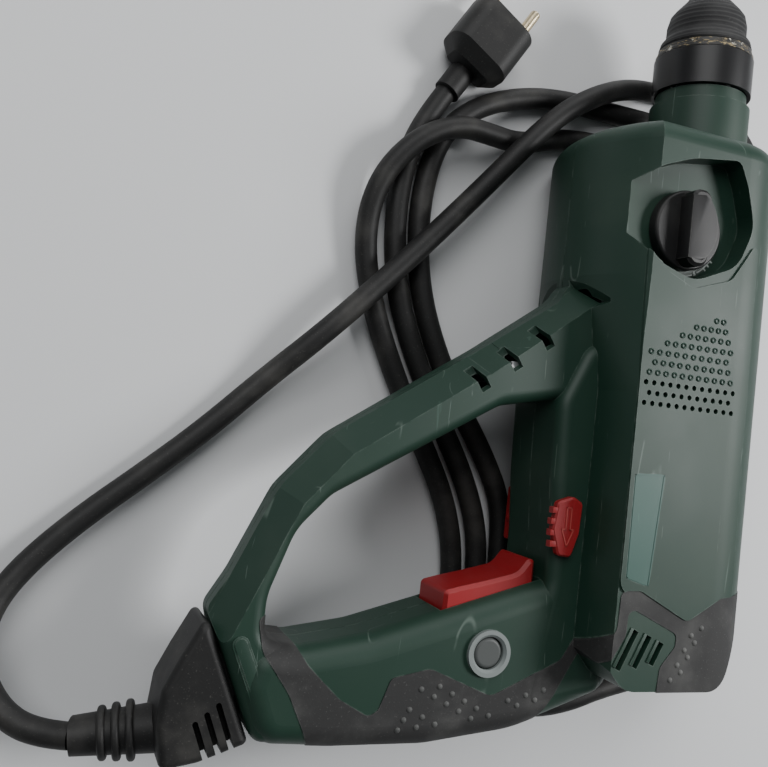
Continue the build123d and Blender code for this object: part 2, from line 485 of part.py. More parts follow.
def controls():
    knob_x, knob_y = KNOB
    knob = cyl_z(KNOB_R, DISH_Z + 0.4, 36, knob_x, knob_y)
    knob = fillet(knob.faces().sort_by(Axis.Z)[-1].edges(), 1.2)
    bar = fillet(block(knob_x - 5, knob_x + 5, knob_y - 15.2, knob_y + 15.2, 35, 43).edges().filter_by(Axis.Z), 4.4)
    bar = chamfer(bar.faces().sort_by(Axis.Z)[-1].edges(), 1.2)
    nodes["mode_knob"] = knob + bar + cyl_z(KNOB_STEM_R, 27.6, 33, knob_x, knob_y)
    cam = cyl_z(8, 25.2, 27.6, knob_x, knob_y)
    nodes["selector_cam"] = cam + cyl_z(1.5, 21.6, 26, knob_x - 2.5, knob_y + 2.5)
    bar_x, bar_y = LEVER_BAR
    plan = outline([(-66, -195), (-60, -195.5), (-57, -186), (-56.5, -174), (-61, -171.5), (-68, -174), (-69.5, -185)],
                   [2, 2, 3, 2, 3, 2, 3])
    plate_up = prism(plan, WAIST_H + GAP, WAIST_H + 3.6)
    plate_up = chamfer(plate_up.faces().sort_by(Axis.Z)[-1].edges(), 0.7)
    plate_down = mirrored(plate_up & block(bar_x - 2, bar_x + 9, bar_y - 14, bar_y + 18, 0, 40))
    nodes["direction_lever"] = (plate_up + plate_down
                                + cyl_z(LEVER_BAR_R, -WAIST_H - 1, WAIST_H + 1, bar_x, bar_y))
    plan = outline([(-107.5, -212.6), (-101, -210.8), (-90, -208.2), (-76, -204.5), (-71.5, -198.5),
                    (-68.8, -199), (-68.8, -216), (-74, -221.5), (-103.5, -227.9), (-107.5, -222.6)],
                   [2, 6, 40, 8, 2, 1.5, 4, 2, 2, 3])
    trigger = prism(plan, -TRIGGER_HALF, TRIGGER_HALF)
    rim = trigger.faces().sort_by(Axis.Z)
    trigger = chamfer(rim[-1].edges() + rim[0].edges(), 1.4)
    nodes["trigger"] = trigger
    lock_x, lock_y = LOCK
    button = cyl_z(LOCK_R, 15.2, GRIP_H + 0.4, lock_x, lock_y)
    nodes["lock_button"] = fillet(button.faces().sort_by(Axis.Z)[-1].edges(), 1.5)
    seat_at = Pos(-91.5, -213.5, 0) * Rot(0, 0, 13.4)
    nodes["switch_module"] = (seat_at * Pos(0, -30.4, 0) * Box(36, 10.8, 17)
                              + seat_at * Pos(10, -24.2, 0) * Rot(90, 0, 0) * Cylinder(2.2, 2.4))
    spring = coil_spring(3.2, 0.9, 4, (0, 0, 0), (0, 1, 0), 7.2)
    nodes["trigger_spring"] = seat_at * Pos(-8, -24.6, 0) * spring
    screws = [BOOT_AT * Pos(CLAMP_ALONG, side * 5.6, 0) for side in (-1, 1)]
    nodes["cable_clamp"] = (BOOT_AT * Pos(CLAMP_ALONG, 0, CLAMP_Z + 1.3) * Box(5, 15, 2.6)).cut(
        *[screw * Pos(0, 0, CLAMP_Z) * Cylinder(1.3 + FIT, 10) for screw in screws])
    nodes["clamp_screws"] = [screw * Pos(0, 0, CLAMP_Z) * (Cylinder(1.3, 6) + Pos(0, 0, 3.4) * Cylinder(2.2, 1.6))
                             for screw in screws]


# ---------------------------------------------------------------- power cord
FLOOR = -HALF_WIDTH
# The route of the cord's centre line, from the protector to the plug, as x, y and height above FLOOR.
# It passes under the chuck, runs round the tool's far side and rear, and comes up three times on the handle's side.
CORD_ROUTE = [
    (-238, -271.5, 34), (-249, -271.8, 30), (-260.5, -267, 25), (-268.5, -257, 19), (-271.5, -244.5, 13.5),
    (-268.5, -231, 9), (-258, -216, 6), (-240, -198, 4.9), (-219, -180, 4.9), (-198, -161, 4.9),
    (-176, -138, 5.4), (-153, -114, 14.4), (-122, -80, 15.4), (-92, -45, 15.5), (-60, -6, 15.7),
    (-40, 9, 16.2), (-18, 20, 9.5), (4, 24, 5.1), (28, 25, 4.9), (50, 18, 4.9), (66, 1, 4.9),
    (72, -24, 4.9), (71, -62, 4.9), (69, -112, 4.9), (71, -160, 4.9), (66, -207, 11.5), (52, -235, 15.2),
    (24, -256, 15.2), (-4, -262, 15.2), (-22, -268.5, 15), (-40, -271.8, 12), (-62, -269.5, 5.5),
    (-77.7, -254.8, 4.9), (-81.5, -231, 4.9), (-82, -205, 4.9), (-89, -181, 4.9), (-103, -157, 4.9),
    (-120, -128, 4.9), (-133, -100, 4.9), (-140, -72, 5.0), (-138, -48, 10), (-125, -29, 15.4),
    (-106, -18.5, 15.6), (-88, -18, 11.5), (-70, -17, 5.2), (-48, -9.5, 4.9), (-24, -8, 4.9),
    (2, -8.5, 4.9), (26, -14, 4.9), (42, -32, 4.9), (48, -60, 4.9), (47, -107, 4.9), (49, -156, 4.9),
    (46, -205, 4.9), (34, -236, 4.9), (10, -253, 4.9), (-18, -255.3, 4.9), (-38.5, -253, 4.9),
    (-51.2, -244.3, 4.9), (-58.4, -230.9, 4.9), (-58.5, -205, 4.9), (-60.5, -181, 4.9), (-72, -160, 4.9),
    (-88, -138, 4.9), (-103, -112, 4.9), (-112, -88, 4.9), (-115.5, -62, 4.9), (-114, -38, 4.9),
    (-107, -18, 4.9), (-92, -4, 4.9), (-70, 5, 4.9), (-47, 8.5, 4.9), (-24, 8, 4.9), (2, 8.5, 4.9),
    (28, 6, 4.9), (48, -6, 4.9), (58, -28, 4.9), (59.5, -62, 4.9), (58, -110, 4.9), (60, -158, 4.9),
    (57, -208, 4.9), (43, -241, 4.9), (16, -262, 4.9), (-16, -265.9, 4.9), (-47, -262, 4.9),
    (-67, -244.5, 4.9), (-69.5, -218, 4.9), (-71, -195, 4.9), (-80, -172, 4.9), (-96, -146, 4.9),
    (-113, -116, 4.9), (-123, -90, 4.9), (-126.5, -62, 4.9), (-125, -38, 4.9), (-119, -18, 4.9),
    (-109, -2, 4.9)]
PLUG_ANGLE = 58.5
PLUG_TAIL, PLUG_BODY, PIN_LENGTH, PIN_PITCH = 14.0, 26.0, 17.0, 19.0


def cord_path():
    points = [Vector(x, y, z + FLOOR) for x, y, z in CORD_ROUTE]
    radii = []
    for before, here, after in zip(points, points[1:], points[2:]):
        run_in, run_out = here - before, after - here
        turn = radians(run_in.get_angle(run_out))
        radii.append(0.45 * min(run_in.length, run_out.length) / tan(turn / 2))
    path = FilletPolyline(*points, radius=radii)
    print("cord radii", " ".join(f"{r:.0f}" for r in radii))
    print(f"cord length {path.length:.0f}, smallest radius {min(radii):.1f} = {min(radii) / CORD_D:.1f} diameters")
    return path


def power_cord():
    path = cord_path()
    section = Plane(origin=path @ 0, z_dir=path % 0) * Circle(CORD_D / 2)
    cord = sweep(section, path=path)
    print(f"cord volume / (section x length) {cord.volume / (pi * CORD_D ** 2 / 4 * path.length):.4f}")
    nodes["power_cord"] = cord
    end_x, end_y, end_z = CORD_ROUTE[-1]
    place = Pos(end_x, end_y, FLOOR) * Rot(0, 0, PLUG_ANGLE)
    high = 11.2
    tail = Pos(PLUG_TAIL / 2, 0, 6.1) * Rot(0, 90, 0) * Cylinder(6.0, PLUG_TAIL)
    body = Pos(PLUG_TAIL + PLUG_BODY / 2 - 1, 0, high) * Box(PLUG_BODY + 2, 31, 22)
    body = fillet(body.edges().filter_by(Axis.X), 8)
    body = chamfer(body.faces().sort_by(Axis.X)[0].edges(), 5.5)
    nodes["plug_body"] = place * (tail + body)
    front = PLUG_TAIL + PLUG_BODY
    pins = []
    for side in (-1, 1):
        pin = Pos(front + PIN_LENGTH / 2, side * PIN_PITCH / 2, high) * Rot(0, 90, 0) * Cylinder(2.4, PIN_LENGTH)
        pins.append(place * fillet(pin.edges().sort_by(Axis.X)[-1], 1.2))
    nodes["plug_pins"] = pins


def cord_protector():
    """The ribbed rubber boot where the cord leaves the handle's lower end."""
    plan = outline([(-198.2, -223.6), (-206, -239), (-211, -250), (-212, -262), (-209, -277.5), (-196, -275),
                    (-178.6, -268.6)], [2, 8, 6, 8, 3, 10, 2])
    base = prism(plan, -14, 14)
    base = fillet(base.edges().group_by(Axis.Z)[-1] + base.edges().group_by(Axis.Z)[0], 3.0)
    away = Vector(cos(radians(180 + BOOT_ANGLE)), sin(radians(180 + BOOT_ANGLE)), 0)
    along = Vector(-away.Y, away.X, 0)
    for i in range(3):
        at = Vector(-198.2, -223.6, 0) + along * (42.5 + 1.5 * i) + away * (5.2 + 4.7 * i)
        slot = Pos(at.X, at.Y, 0) * Rot(0, 0, 180 + BOOT_ANGLE) * (Box(2.0, 22, 24) + Pos(0, -11, 0) * Cylinder(1.0, 24))
        base = base - Pos(0, 0, 15.5) * slot - Pos(0, 0, -15.5) * slot
    neck_from, neck_to = Vector(-203, -266.5, -1.5), Vector(*CORD_ROUTE[0]) + Vector(0, 0, FLOOR)
    axis = (neck_to - neck_from)
    length = axis.length
    place = Plane(origin=neck_from, z_dir=axis)
    boot = base + place * (Pos(0, 0, length / 2) * Cone(9.2, 6.8, length))
    for i in range(3):
        ring = Cylinder(10.6 - 0.6 * i, 2.8)
        boot = boot + place * (Pos(0, 0, 15.0 + 4.9 * i) * fillet(ring.edges().filter_by(GeomType.CIRCLE), 1.2))
    leaving = Vector(*CORD_ROUTE[1]) - Vector(*CORD_ROUTE[0])
    boot = boot - extrude(Plane(origin=neck_to, z_dir=leaving) * Circle(30), amount=12)
    stem = BOOT_AT * Box(18, 2 * BOOT_STEM - 0.4, 2 * BOOT_STEM - 0.4)
    stem = stem.cut(BOOT_AT * Pos(CLAMP_ALONG, 0, CLAMP_Z + 5) * Box(5.2, 20, 10),
                    *[BOOT_AT * Pos(CLAMP_ALONG, side * 5.6, CLAMP_Z) * Cylinder(1.3 + FIT, 6.1) for side in (-1, 1)])
    nodes["cord_protector"] = boot + stem


def write_all():
    cavity = housing()
    inner_walls(cavity)
    chuck()
    drive()
    motor()
    controls()
    cord_protector()
    power_cord()
    for name, shape in nodes.items():
        solids = shape if isinstance(shape, list) else shape.solids()
        moved = [SHIFT * solid for solid in solids]
        export_step(moved[0] if len(moved) == 1 else Compound(children=moved), f"parts/{name}.step")


if __name__ == "__main__":
    write_all()
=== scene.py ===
import json
import math

import bpy
import bmesh
from mathutils import Matrix, Vector


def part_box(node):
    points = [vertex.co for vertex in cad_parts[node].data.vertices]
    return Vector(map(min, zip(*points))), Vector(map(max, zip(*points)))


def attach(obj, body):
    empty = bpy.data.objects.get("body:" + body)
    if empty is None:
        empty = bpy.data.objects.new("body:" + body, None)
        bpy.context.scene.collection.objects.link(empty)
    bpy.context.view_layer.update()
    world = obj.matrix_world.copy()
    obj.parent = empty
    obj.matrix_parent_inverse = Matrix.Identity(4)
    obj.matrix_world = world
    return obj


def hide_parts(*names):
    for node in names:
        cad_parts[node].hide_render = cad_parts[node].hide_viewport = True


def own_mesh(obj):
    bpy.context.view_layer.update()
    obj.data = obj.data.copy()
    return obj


# A rotary hammer lying on its right side on a plain floor, with its cord laid round it.
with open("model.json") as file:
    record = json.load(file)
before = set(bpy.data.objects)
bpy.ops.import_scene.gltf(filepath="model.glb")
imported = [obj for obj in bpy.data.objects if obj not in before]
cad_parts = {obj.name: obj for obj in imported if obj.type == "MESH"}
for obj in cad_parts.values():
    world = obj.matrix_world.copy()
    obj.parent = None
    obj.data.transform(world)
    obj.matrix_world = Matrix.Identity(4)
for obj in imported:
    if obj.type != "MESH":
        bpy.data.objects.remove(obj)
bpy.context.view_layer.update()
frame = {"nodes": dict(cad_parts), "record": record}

# ------------------------------------------------------------------ places
# The design's own frame: the spindle axis is Y, the nose's front lip is at y = 56 mm, z = 0 is the parting plane.
AXIS_LOW, AXIS_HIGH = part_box("tool_holder")
NOSE_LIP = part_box("dust_cap")[1].y
ORIGIN = Vector(((AXIS_LOW.x + AXIS_HIGH.x) / 2, NOSE_LIP - 0.056, (AXIS_LOW.z + AXIS_HIGH.z) / 2))
FLOOR_Z = -41.0
MM = 0.001


def at(x, y, z=0.0):
    """A point given in the design's frame, in millimetres, as a place in the scene, in metres."""
    return ORIGIN + Vector((x, y, z)) * MM


# ------------------------------------------------------------------ materials
def new_material(name, colour, roughness, metallic=0.0):
    material = bpy.data.materials.new(name)
    material.use_nodes = True
    shader = material.node_tree.nodes["Principled BSDF"]
    shader.inputs["Base Color"].default_value = (*colour, 1)
    shader.inputs["Roughness"].default_value = roughness
    shader.inputs["Metallic"].default_value = metallic
    return material


def add(material, kind, **values):
    node = material.node_tree.nodes.new(kind)
    for key, value in values.items():
        if key in node.inputs:
            node.inputs[key].default_value = value
        else:
            setattr(node, key, value)
    return node


def join(material, source, output, target, entry):
    material.node_tree.links.new(source.outputs[output], target.inputs[entry])


def noise(material, scale, detail=4.0, roughness=0.55, stretch=None):
    """Noise over the object's own coordinates, in waves per metre."""
    place = add(material, "ShaderNodeTexCoord")
    node = add(material, "ShaderNodeTexNoise", Scale=scale, Detail=detail, Roughness=roughness)
    if stretch:
        mapping = add(material, "ShaderNodeMapping", Scale=stretch)
        join(material, place, "Object", mapping, "Vector")
        join(material, mapping, "Vector", node, "Vector")
    else:
        join(material, place, "Object", node, "Vector")
    return node


def ramp(material, source, output, low, high, dark=0.0, light=1.0):
    """A soft threshold on a value, from dark below low to light above high."""
    node = add(material, "ShaderNodeMapRange")
    node.interpolation_type = "SMOOTHSTEP"
    for entry, value in (("From Min", low), ("From Max", high), ("To Min", dark), ("To Max", light)):
        node.inputs[entry].default_value = value
    join(material, source, output, node, "Value")
    return node


def tint(material, mask, colour):
    """Lay another colour over the base colour wherever the mask is 1."""
    shader = material.node_tree.nodes["Principled BSDF"]
    mix = add(material, "ShaderNodeMix", data_type="RGBA")
    entry = shader.inputs["Base Color"]
    if entry.links:
        material.node_tree.links.new(entry.links[0].from_socket, mix.inputs[6])
    else:
        mix.inputs[6].default_value = entry.default_value
    mix.inputs[7].default_value = (*colour, 1)
    join(material, mask, 0, mix, 0)
    material.node_tree.links.new(mix.outputs[2], entry)


def bump(material, source, output, strength, distance):
    shader = material.node_tree.nodes["Principled BSDF"]
    node = add(material, "ShaderNodeBump", Strength=strength, Distance=distance)
    if shader.inputs["Normal"].links:
        material.node_tree.links.new(shader.inputs["Normal"].links[0].from_socket, node.inputs["Normal"])
    join(material, source, output, node, "Height")
    join(material, node, "Normal", shader, "Normal")


def rough(material, source, output, low, high):
    """Let the roughness wander between two values."""
    node = add(material, "ShaderNodeMapRange")
    node.inputs["To Min"].default_value = low
    node.inputs["To Max"].default_value = high
    join(material, source, output, node, "Value")
    shader = material.node_tree.nodes["Principled BSDF"]
    join(material, node, "Result", shader, "Roughness")


def worn_edges(material, colour, amount=0.5):
    """Lighter rubbed edges: where the surface turns within a millimetre, broken up by noise."""
    flat = add(material, "ShaderNodeNewGeometry")
    rounded = add(material, "ShaderNodeBevel", Radius=0.0007)
    rounded.samples = 4
    alike = add(material, "ShaderNodeVectorMath", operation="DOT_PRODUCT")
    join(material, flat, "Normal", alike, 0)
    join(material, rounded, "Normal", alike, 1)
    edge = ramp(material, alike, "Value", 0.90, 0.985, amount, 0.0)
    patches = noise(material, 210, 4)
    broken = add(material, "ShaderNodeMath", operation="MULTIPLY")
    join(material, edge, "Result", broken, 0)
    join(material, ramp(material, patches, "Fac", 0.38, 0.62), "Result", broken, 1)
    tint(material, broken, colour)


def scratches(material, colour, amount):
    """A few long hair-fine scratches in two directions: thin level lines of much stretched noise."""
    for turn, shift in ((0.42, 0.0), (-0.85, 3.7)):
        place = add(material, "ShaderNodeTexCoord")
        mapping = add(material, "ShaderNodeMapping", Scale=(1.0, 0.05, 1.0), Rotation=(0, 0, turn),
                      Location=(shift, 0, 0))
        field = add(material, "ShaderNodeTexNoise", Scale=70.0, Detail=0.0)
        join(material, place, "Object", mapping, "Vector")
        join(material, mapping, "Vector", field, "Vector")
        away = add(material, "ShaderNodeMath", operation="SUBTRACT")
        away.inputs[1].default_value = 0.5
        join(material, field, "Fac", away, 0)
        size = add(material, "ShaderNodeMath", operation="ABSOLUTE")
        join(material, away, "Value", size, 0)
        line = ramp(material, size, "Value", 0.0, 0.010, amount, 0.0)
        gaps = noise(material, 55 + 10 * shift, 2)
        broken = add(material, "ShaderNodeMath", operation="MULTIPLY")
        join(material, line, "Result", broken, 0)
        join(material, ramp(material, gaps, "Fac", 0.56, 0.66), "Result", broken, 1)
        tint(material, broken, colour)


def moulded(name, colour, dust, roughness, grain=2600, depth=0.00006, scuffs=0.35):
    """Moulded plastic: fine spark-eroded grain, cloudy dust and short pale scuffs."""
    material = new_material(name, colour, roughness)
    material.node_tree.nodes["Principled BSDF"].inputs["Specular IOR Level"].default_value = 0.4
    clouds = noise(material, 22, 5)
    tint(material, ramp(material, clouds, "Fac", 0.50, 0.74, 0, 0.22), dust)
    streaks = noise(material, 160, 3, 0.6, (1.0, 0.12, 1.0))
    tint(material, ramp(material, streaks, "Fac", 0.69, 0.74, 0, scuffs), [c * 2.2 + 0.04 for c in colour])
    specks = noise(material, 900, 2)
    tint(material, ramp(material, specks, "Fac", 0.70, 0.76, 0, 0.25), dust)
    rough(material, clouds, "Fac", roughness - 0.08, roughness + 0.14)
    fine = noise(material, grain, 3)
    bump(material, fine, "Fac", 0.35, depth)
    return material


def rubber(name, colour, dust, roughness=0.72, amount=0.4):
    material = new_material(name, colour, roughness)
    material.node_tree.nodes["Principled BSDF"].inputs["Specular IOR Level"].default_value = 0.35
    clouds = noise(material, 45, 6)
    tint(material, ramp(material, clouds, "Fac", 0.45, 0.75, 0, amount), dust)
    specks = noise(material, 1300, 3)
    tint(material, ramp(material, specks, "Fac", 0.62, 0.72, 0, amount), dust)
    bump(material, specks, "Fac", 0.4, 0.00008)
    return material


def metal(name, colour, roughness=0.32):
    material = new_material(name, colour, roughness, 1.0)
    brush = noise(material, 700, 3, 0.6, (1.0, 0.06, 1.0))
    rough(material, brush, "Fac", roughness - 0.1, roughness + 0.18)
    bump(material, brush, "Fac", 0.15, 0.00003)
    return material


def worn_ring(name):
    """A step ring whose black finish is scratched through to brassy and bright metal in places."""
    material = new_material(name, (0.022, 0.021, 0.019), 0.42)
    marks = noise(material, 380, 6, 0.72, (1.0, 2.8, 1.0))
    tint(material, ramp(material, marks, "Fac", 0.54, 0.60, 0, 0.95), (0.40, 0.31, 0.16))
    patches = noise(material, 250, 5, 0.65)
    tint(material, ramp(material, patches, "Fac", 0.60, 0.66, 0, 0.9), (0.72, 0.70, 0.62))
    rough(material, marks, "Fac", 0.3, 0.6)
    bump(material, marks, "Fac", 0.6, 0.00025)
    return material


def dusty_cap(name):
    """Soft black rubber with dust in rings of turned grooves."""
    material = rubber(name, (0.012, 0.012, 0.013), (0.10, 0.10, 0.098), 0.7, 0.3)
    place = add(material, "ShaderNodeTexCoord")
    waves = add(material, "ShaderNodeTexWave", wave_type="BANDS", bands_direction="Y", Scale=150.0, Distortion=0.4)
    join(material, place, "Object", waves, "Vector")
    tint(material, ramp(material, waves, "Fac", 0.55, 0.95, 0, 0.25), (0.10, 0.10, 0.098))
    bump(material, waves, "Fac", 0.5, 0.00020)
    return material


GREEN = moulded("green_plastic", (0.0125, 0.0390, 0.0255), (0.060, 0.085, 0.065), 0.46)
BLACK = moulded("black_plastic", (0.0075, 0.0075, 0.0085), (0.065, 0.065, 0.065), 0.40, scuffs=0.2)
RUBBER = rubber("black_rubber", (0.026, 0.026, 0.026), (0.120, 0.120, 0.115), 0.66)
CORD = rubber("cord_rubber", (0.0125, 0.0125, 0.0125), (0.085, 0.082, 0.075), 0.55, 0.45)
CAP = dusty_cap("dusty_rubber")
SLEEVE = moulded("sleeve_black", (0.006, 0.006, 0.007), (0.05, 0.05, 0.05), 0.36, scuffs=0.15)
RED = moulded("red_plastic", (0.29, 0.0095, 0.0125), (0.24, 0.05, 0.05), 0.40, 2200, 0.00004, 0.1)
GREY = moulded("grey_plastic", (0.20, 0.225, 0.22), (0.12, 0.13, 0.12), 0.5, scuffs=0.2)
LABEL = moulded("label", (0.032, 0.092, 0.074), (0.12, 0.17, 0.15), 0.42, scuffs=0.3)
WHITE = new_material("white_print", (0.55, 0.60, 0.57), 0.6)
STEEL = metal("steel", (0.56, 0.56, 0.57))
BRASS = metal("brass_pins", (0.66, 0.56, 0.38), 0.3)
COPPER = metal("copper", (0.62, 0.28, 0.13), 0.38)
ALUMINIUM = metal("aluminium", (0.62, 0.63, 0.64), 0.45)
IRON = metal("laminations", (0.22, 0.22, 0.23), 0.5)
PALE = moulded("pale_plastic", (0.55, 0.55, 0.5), (0.3, 0.3, 0.28), 0.5)
CARBON = moulded("carbon", (0.02, 0.02, 0.02), (0.08, 0.08, 0.08), 0.55)
RED_RIMS = moulded("red_rims", (0.45, 0.07, 0.06), (0.3, 0.1, 0.1), 0.40, scuffs=0.1)
# The dots are paler all over than the rubber round them: a painted highlight for their lit tops.
DOTS = rubber("dots_painted_highlight", (0.070, 0.072, 0.070), (0.20, 0.20, 0.19), 0.6)
BUTTON = moulded("button_grey", (0.075, 0.082, 0.080), (0.03, 0.03, 0.03), 0.45, scuffs=0.2)
KNOB_BLACK = moulded("knob_black", (0.0075, 0.0075, 0.008), (0.085, 0.085, 0.078), 0.45, scuffs=0.5)
# A paler green for the ringed vent dimples: a painted highlight for the light caught on their rims.
GREEN_RIMS = moulded("green_rims_painted_highlight", (0.030, 0.060, 0.046), (0.22, 0.26, 0.23), 0.42, scuffs=0.5)
STEP = worn_ring("worn_step_ring")
worn_edges(GREEN, (0.15, 0.19, 0.165), 0.55)
worn_edges(BLACK, (0.10, 0.10, 0.10), 0.35)
worn_edges(RED, (0.42, 0.09, 0.08), 0.4)
worn_edges(RUBBER, (0.16, 0.16, 0.155), 0.4)
scratches(GREEN, (0.16, 0.21, 0.18), 0.45)
worn_edges(KNOB_BLACK, (0.11, 0.11, 0.10), 0.6)

SLOT_MATERIAL = {
    "green_plastic": GREEN, "black_rubber": RUBBER, "black_plastic": BLACK, "red_plastic": RED, "grey_plastic": GREY,
    "worn_brass": BRASS, "cord_rubber": CORD, "steel": STEEL, "laminations": IRON, "copper": COPPER,
    "aluminium": ALUMINIUM, "white_plastic": PALE, "seal_rubber": RUBBER, "carbon": CARBON}
NODE_MATERIAL = {"step_ring": STEP, "label_plate": LABEL, "dust_cap": CAP, "locking_sleeve": SLEEVE,
                 "cord_protector": CORD, "plug_body": CORD, "lock_button": BUTTON, "mode_knob": KNOB_BLACK}


def dress_frame():
    """Give every carried-over CAD node its procedural material."""
    for part in frame["record"]["subparts"]:
        node = frame["nodes"][part["node"]]
        material = NODE_MATERIAL.get(part["node"], SLOT_MATERIAL[part["material_slot"]])
        node.data.materials.clear()
        node.data.materials.append(material)


# ------------------------------------------------------------------ cord
CORD_R = 0.0048
# The control points of the cord's line: x, y and height above the floor, as in the CAD model.
CORD_ROUTE = [
    (-238, -271.5, 34), (-249, -271.8, 30), (-260.5, -267, 25), (-268.5, -257, 19), (-271.5, -244.5, 13.5),
    (-268.5, -231, 9), (-258, -216, 6), (-240, -198, 4.9), (-219, -180, 4.9), (-198, -161, 4.9),
    (-176, -138, 5.4), (-153, -114, 14.4), (-122, -80, 15.4), (-92, -45, 15.5), (-60, -6, 15.7),
    (-40, 9, 16.2), (-18, 20, 9.5), (4, 24, 5.1), (28, 25, 4.9), (50, 18, 4.9), (66, 1, 4.9),
    (72, -24, 4.9), (71, -62, 4.9), (69, -112, 4.9), (71, -160, 4.9), (66, -207, 11.5), (52, -235, 15.2),
    (24, -256, 15.2), (-4, -262, 15.2), (-22, -268.5, 15), (-40, -271.8, 12), (-62, -269.5, 5.5),
    (-77.7, -254.8, 4.9), (-81.5, -231, 4.9), (-82, -205, 4.9), (-89, -181, 4.9), (-103, -157, 4.9),
    (-120, -128, 4.9), (-133, -100, 4.9), (-140, -72, 5.0), (-138, -48, 10), (-125, -29, 15.4),
    (-106, -18.5, 15.6), (-88, -18, 11.5), (-70, -17, 5.2), (-48, -9.5, 4.9), (-24, -8, 4.9),
    (2, -8.5, 4.9), (26, -14, 4.9), (42, -32, 4.9), (48, -60, 4.9), (47, -107, 4.9), (49, -156, 4.9),
    (46, -205, 4.9), (34, -236, 4.9), (10, -253, 4.9), (-18, -255.3, 4.9), (-38.5, -253, 4.9),
    (-51.2, -244.3, 4.9), (-58.4, -230.9, 4.9), (-58.5, -205, 4.9), (-60.5, -181, 4.9), (-72, -160, 4.9),
    (-88, -138, 4.9), (-103, -112, 4.9), (-112, -88, 4.9), (-115.5, -62, 4.9), (-114, -38, 4.9),
    (-107, -18, 4.9), (-92, -4, 4.9), (-70, 5, 4.9), (-47, 8.5, 4.9), (-24, 8, 4.9), (2, 8.5, 4.9),
    (28, 6, 4.9), (48, -6, 4.9), (58, -28, 4.9), (59.5, -62, 4.9), (58, -110, 4.9), (60, -158, 4.9),
    (57, -208, 4.9), (43, -241, 4.9), (16, -262, 4.9), (-16, -265.9, 4.9), (-47, -262, 4.9),
    (-67, -244.5, 4.9), (-69.5, -218, 4.9), (-71, -195, 4.9), (-80, -172, 4.9), (-96, -146, 4.9),
    (-113, -116, 4.9), (-123, -90, 4.9), (-126.5, -62, 4.9), (-125, -38, 4.9), (-119, -18, 4.9),
    (-109, -2, 4.9)]


def smooth_line(name, points):
    """An open NURBS curve on these control points."""
    curve = bpy.data.curves.new(name, "CURVE")
    curve.dimensions = "3D"
    line = curve.splines.new("NURBS")
    line.points.add(len(points) - 1)
    for point, place in zip(line.points, points):
        point.co = (*place, 1)
    line.order_u = 3
    line.use_endpoint_u = True
    curve.resolution_u = 10
    piece = bpy.data.objects.new(name, curve)
    bpy.context.collection.objects.link(piece)
    return piece


def power_cord():
    points = [at(x, y, FLOOR_Z + z) for x, y, z in CORD_ROUTE]
    cord = smooth_line("mains_cord", points)
    cord.data.bevel_depth = CORD_R
    cord.data.bevel_resolution = 6
    cord.data.use_fill_caps = True
    cord.data.materials.append(CORD)
    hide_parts("power_cord")
    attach(cord, "housing")


# ------------------------------------------------------------------ small pieces
def mesh_piece(name, mesh_builder, material, body):
    mesh = bpy.data.meshes.new(name)
    shape = bmesh.new()
    mesh_builder(shape)
    bmesh.ops.recalc_face_normals(shape, faces=shape.faces)
    shape.to_mesh(mesh)
    shape.free()
    mesh.shade_smooth()
    mesh.set_sharp_from_angle(angle=math.radians(38))
    piece = bpy.data.objects.new(name, mesh)
    bpy.context.collection.objects.link(piece)
    mesh.materials.append(material)
    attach(piece, body)
    return piece


DOME = [(1.0, -0.35), (1.0, 0.10), (0.77, 0.64), (0.37, 0.93)]
CRATER = [(1.0, -0.35), (1.0, 0.20), (0.88, 0.85), (0.72, 1.0), (0.56, 0.80), (0.42, 0.15), (0.15, 0.05)]


def turned(shape, centre, normal, radius, height, profile=None, sides=12):
    """A small closed turned shape with its flat back sunk a little into the surface."""
    turn = normal.normalized().to_track_quat("Z", "Y").to_matrix().to_4x4()
    place = Matrix.Translation(centre) @ turn
    rings = []
    for r, h in profile or DOME:
        rings.append([shape.verts.new(place @ Vector((radius * r * math.cos(a), radius * r * math.sin(a), height * h)))
                      for a in (2 * math.pi * i / sides for i in range(sides))])
    for low, high in zip(rings, rings[1:]):
        for i in range(sides):
            shape.faces.new((low[i], low[(i + 1) % sides], high[(i + 1) % sides], high[i]))
    shape.faces.new(rings[-1])
    shape.faces.new(rings[0][::-1])


def plate(shape, outline, low, high, bevel=0.0):
    """A flat closed plate: outline points in millimetres, between two heights, with a bevelled upper edge."""
    base = [shape.verts.new(at(x, y, low)) for x, y in outline]
    top = [shape.verts.new(at(x, y, high)) for x, y in outline]
    count = len(outline)
    for i in range(count):
        shape.faces.new((base[i], base[(i + 1) % count], top[(i + 1) % count], top[i]))
    lid = shape.faces.new(top)
    shape.faces.new(base[::-1])
    if bevel:
        bmesh.ops.bevel(shape, geom=list(lid.edges), offset=bevel * MM, segments=2, affect="EDGES", profile=0.6)


def inside(point, polygon):
    x, y = point
    hit = False
    for (xa, ya), (xb, yb) in zip(polygon, polygon[1:] + polygon[:1]):
        if (ya > y) != (yb > y) and x < (xb - xa) * (y - ya) / (yb - ya) + xa:
            hit = not hit
    return hit


UP = Vector((0, 0, 1))
DOT_R, DOT_H = 1.25, 0.5
PANEL_TOP, BARREL_TOP, WAIST_TOP = 41.0, 40.2, 23.8
# The blind vents, which are ringed dimples: height of the row, x of its first and its last dimple, and their number.
VENT_ROWS = [(-120.0, -44.4, -5.0, 11), (-116.0, -42.2, -6.6, 10), (-112.0, -44.4, -8.0, 10),
             (-108.0, -37.2, -6.2, 9), (-104.0, -30.4, -7.8, 7), (-100.0, -24.0, -9.6, 5), (-96.2, -14.5, -11.0, 2)]


def vent_rims():
    """Rows of ringed dimples behind the rows of through holes in the side panel."""
    def build(shape):
        for y, first, last, count in VENT_ROWS:
            for i in range(count):
                x = first + (last - first) * i / (count - 1)
                place, normal, _ = surface(x, y)
                if place and normal.z > 0.3:
                    turned(shape, place, normal, DOT_R * MM, DOT_H * MM, CRATER)
    mesh_piece("vent_rims", build, GREEN_RIMS, "housing")


